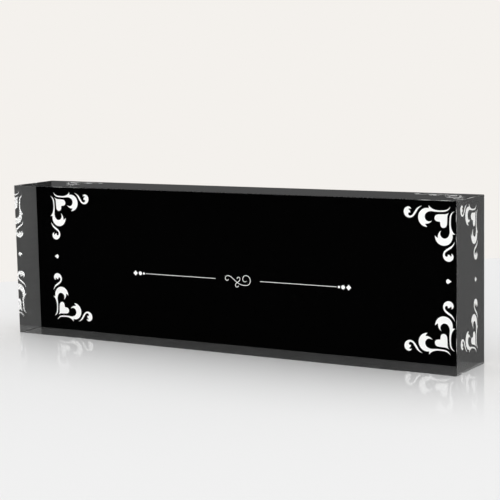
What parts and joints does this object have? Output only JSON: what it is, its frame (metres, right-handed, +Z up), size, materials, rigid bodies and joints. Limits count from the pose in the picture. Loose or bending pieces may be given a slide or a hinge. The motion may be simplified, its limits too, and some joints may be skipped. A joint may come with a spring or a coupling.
{
  "type": "desk name plate",
  "caption": "Free-standing desk name plate: a thick clear acrylic block with bevelled edges, read through its front to a black backing film with white leaf scrolls and a divider.",
  "frame": {"origin": "middle of the base, centred between the ends and between the front face and the back of the film", "axes": "+X along the long side to the reader's right, +Y from the front face to the film on the back, +Z up"},
  "size_m": [0.2032, 0.0256, 0.0635],
  "materials": {
    "clear_acrylic": "polished",
    "white_ink": "satin",
    "black_film": "satin"
  },
  "bodies": {
    "root": {"acrylic_block": "clear_acrylic", "black_film": "black_film", "bottom_left_heart": "white_ink", "bottom_left_long_curl": "white_ink", "bottom_left_long_leaf": "white_ink", "bottom_left_tall_curl": "white_ink", "bottom_left_tall_leaf": "white_ink", "bottom_right_heart": "white_ink", "bottom_right_long_curl": "white_ink", "bottom_right_long_leaf": "white_ink", "bottom_right_tall_curl": "white_ink", "bottom_right_tall_leaf": "white_ink", "flourish": "white_ink", "left_diamond": "white_ink", "left_drop": "white_ink", "left_large_bead": "white_ink", "left_rule": "white_ink", "left_small_bead": "white_ink", "right_diamond": "white_ink", "right_drop": "white_ink", "right_large_bead": "white_ink", "right_rule": "white_ink", "right_small_bead": "white_ink", "top_left_heart": "white_ink", "top_left_long_curl": "white_ink", "top_left_long_leaf": "white_ink", "top_left_tall_curl": "white_ink", "top_left_tall_leaf": "white_ink", "top_right_heart": "white_ink", "top_right_long_curl": "white_ink", "top_right_long_leaf": "white_ink", "top_right_tall_curl": "white_ink", "top_right_tall_leaf": "white_ink"}
  },
  "joints": []
}
